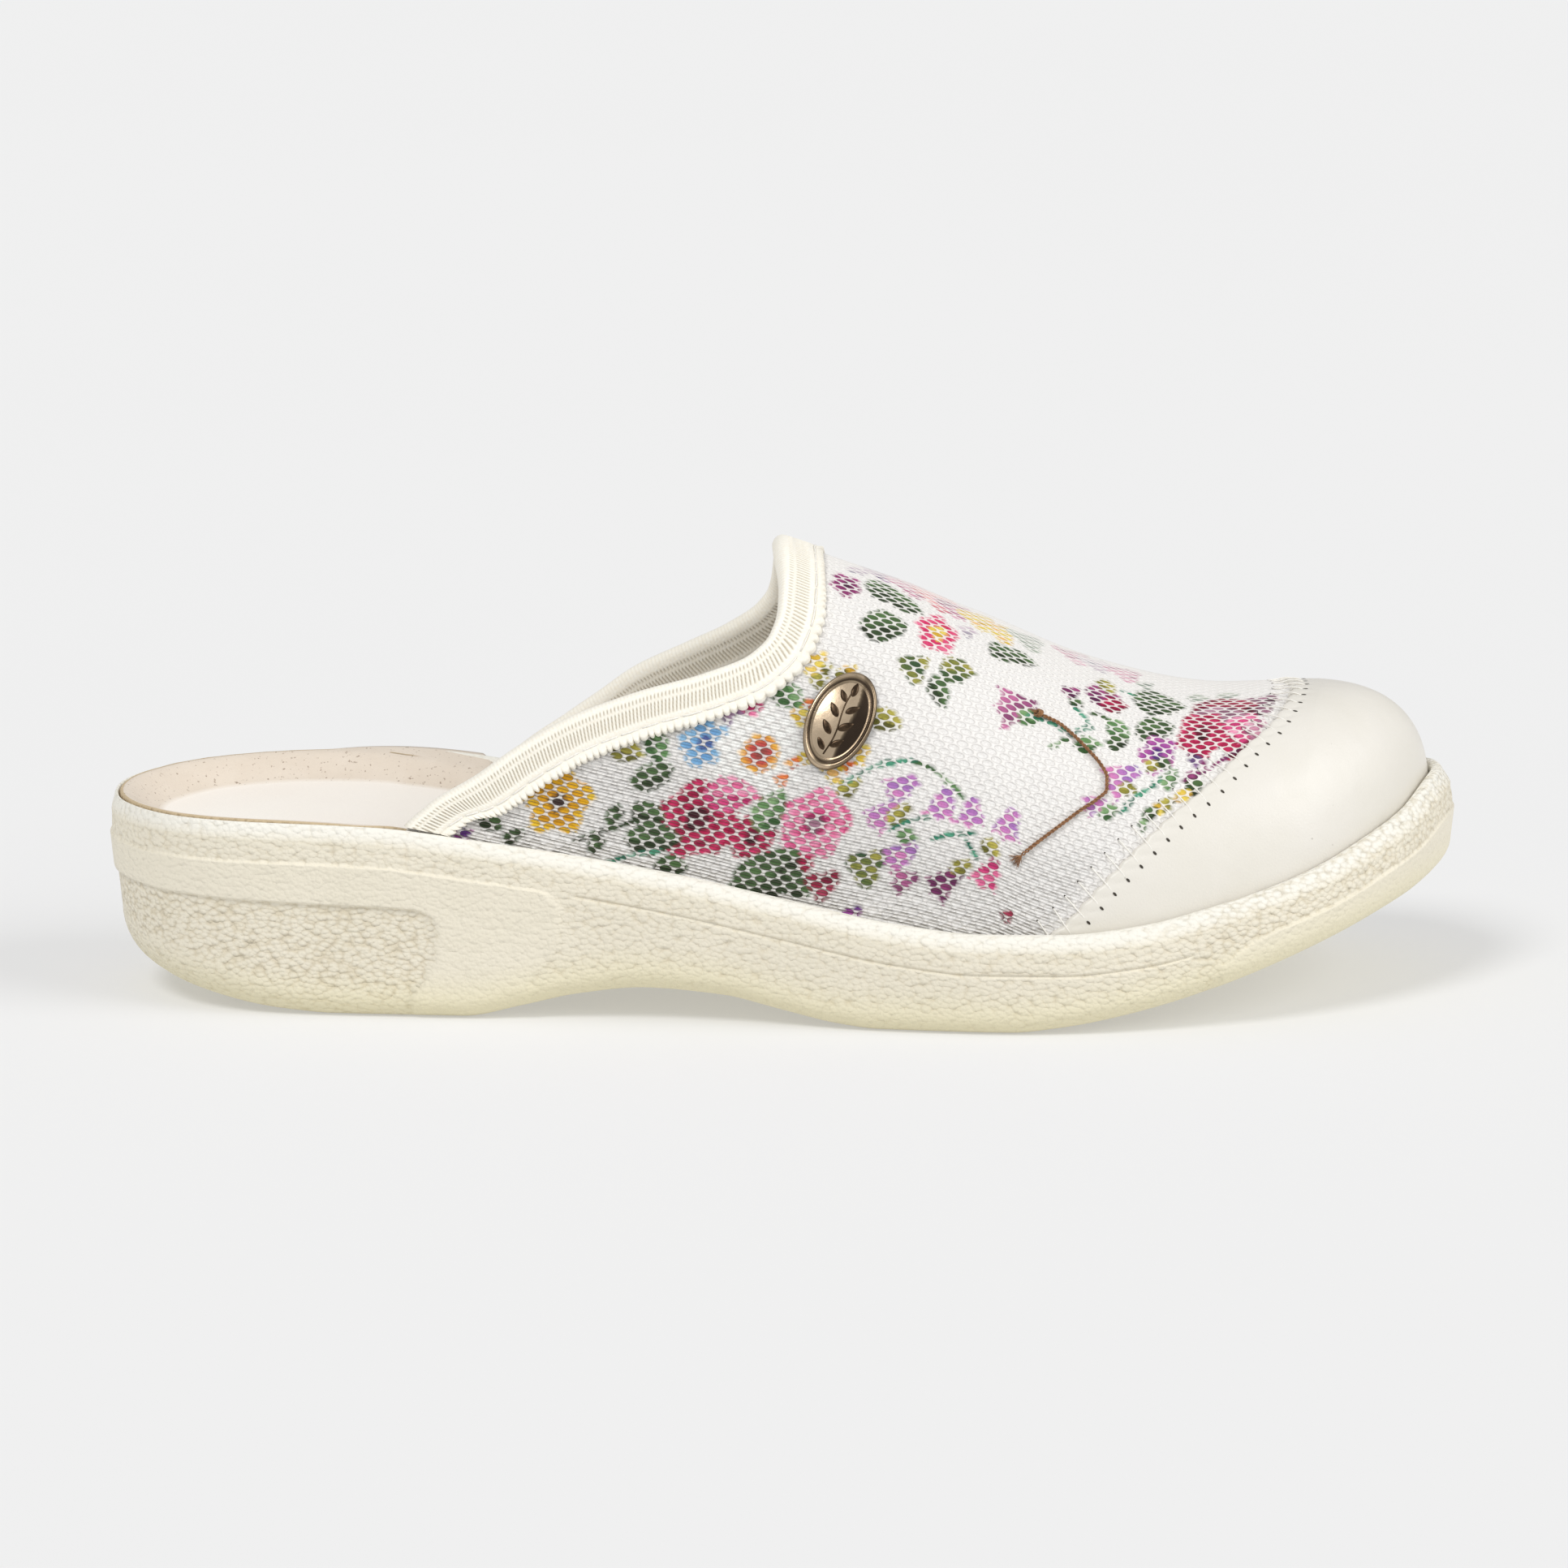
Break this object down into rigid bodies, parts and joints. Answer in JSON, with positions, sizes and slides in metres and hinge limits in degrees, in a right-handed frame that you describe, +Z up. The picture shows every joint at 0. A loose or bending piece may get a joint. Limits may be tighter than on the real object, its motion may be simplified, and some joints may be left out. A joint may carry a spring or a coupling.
{
  "type": "comfort mule",
  "caption": "Closed-toe backless comfort shoe with a moulded wedge sole, a printed mesh vamp, a leather toe cap and a knitted collar binding.",
  "frame": {"origin": "on the floor under the middle of the heel", "axes": "+X towards the toe, +Z up, +Y towards the inner (medial) side of the foot"},
  "size_m": [0.2571, 0.0912, 0.0866],
  "materials": {
    "sole": "cream foam with a leathery grain",
    "insole": "matte pinkish cream lining",
    "vamp": "white net over a floral print",
    "toe_cap": "smooth warm white leather",
    "collar_binding": "ribbed ivory knit",
    "badge": "polished, darkened in the recess",
    "couched_thread": "brown twisted thread"
  },
  "bodies": {
    "root": {"sole": "sole", "insole": "insole", "vamp": "vamp", "toe_cap": "toe_cap", "collar_binding": "collar_binding", "badge": "badge", "couched_thread": "couched_thread"}
  },
  "joints": []
}
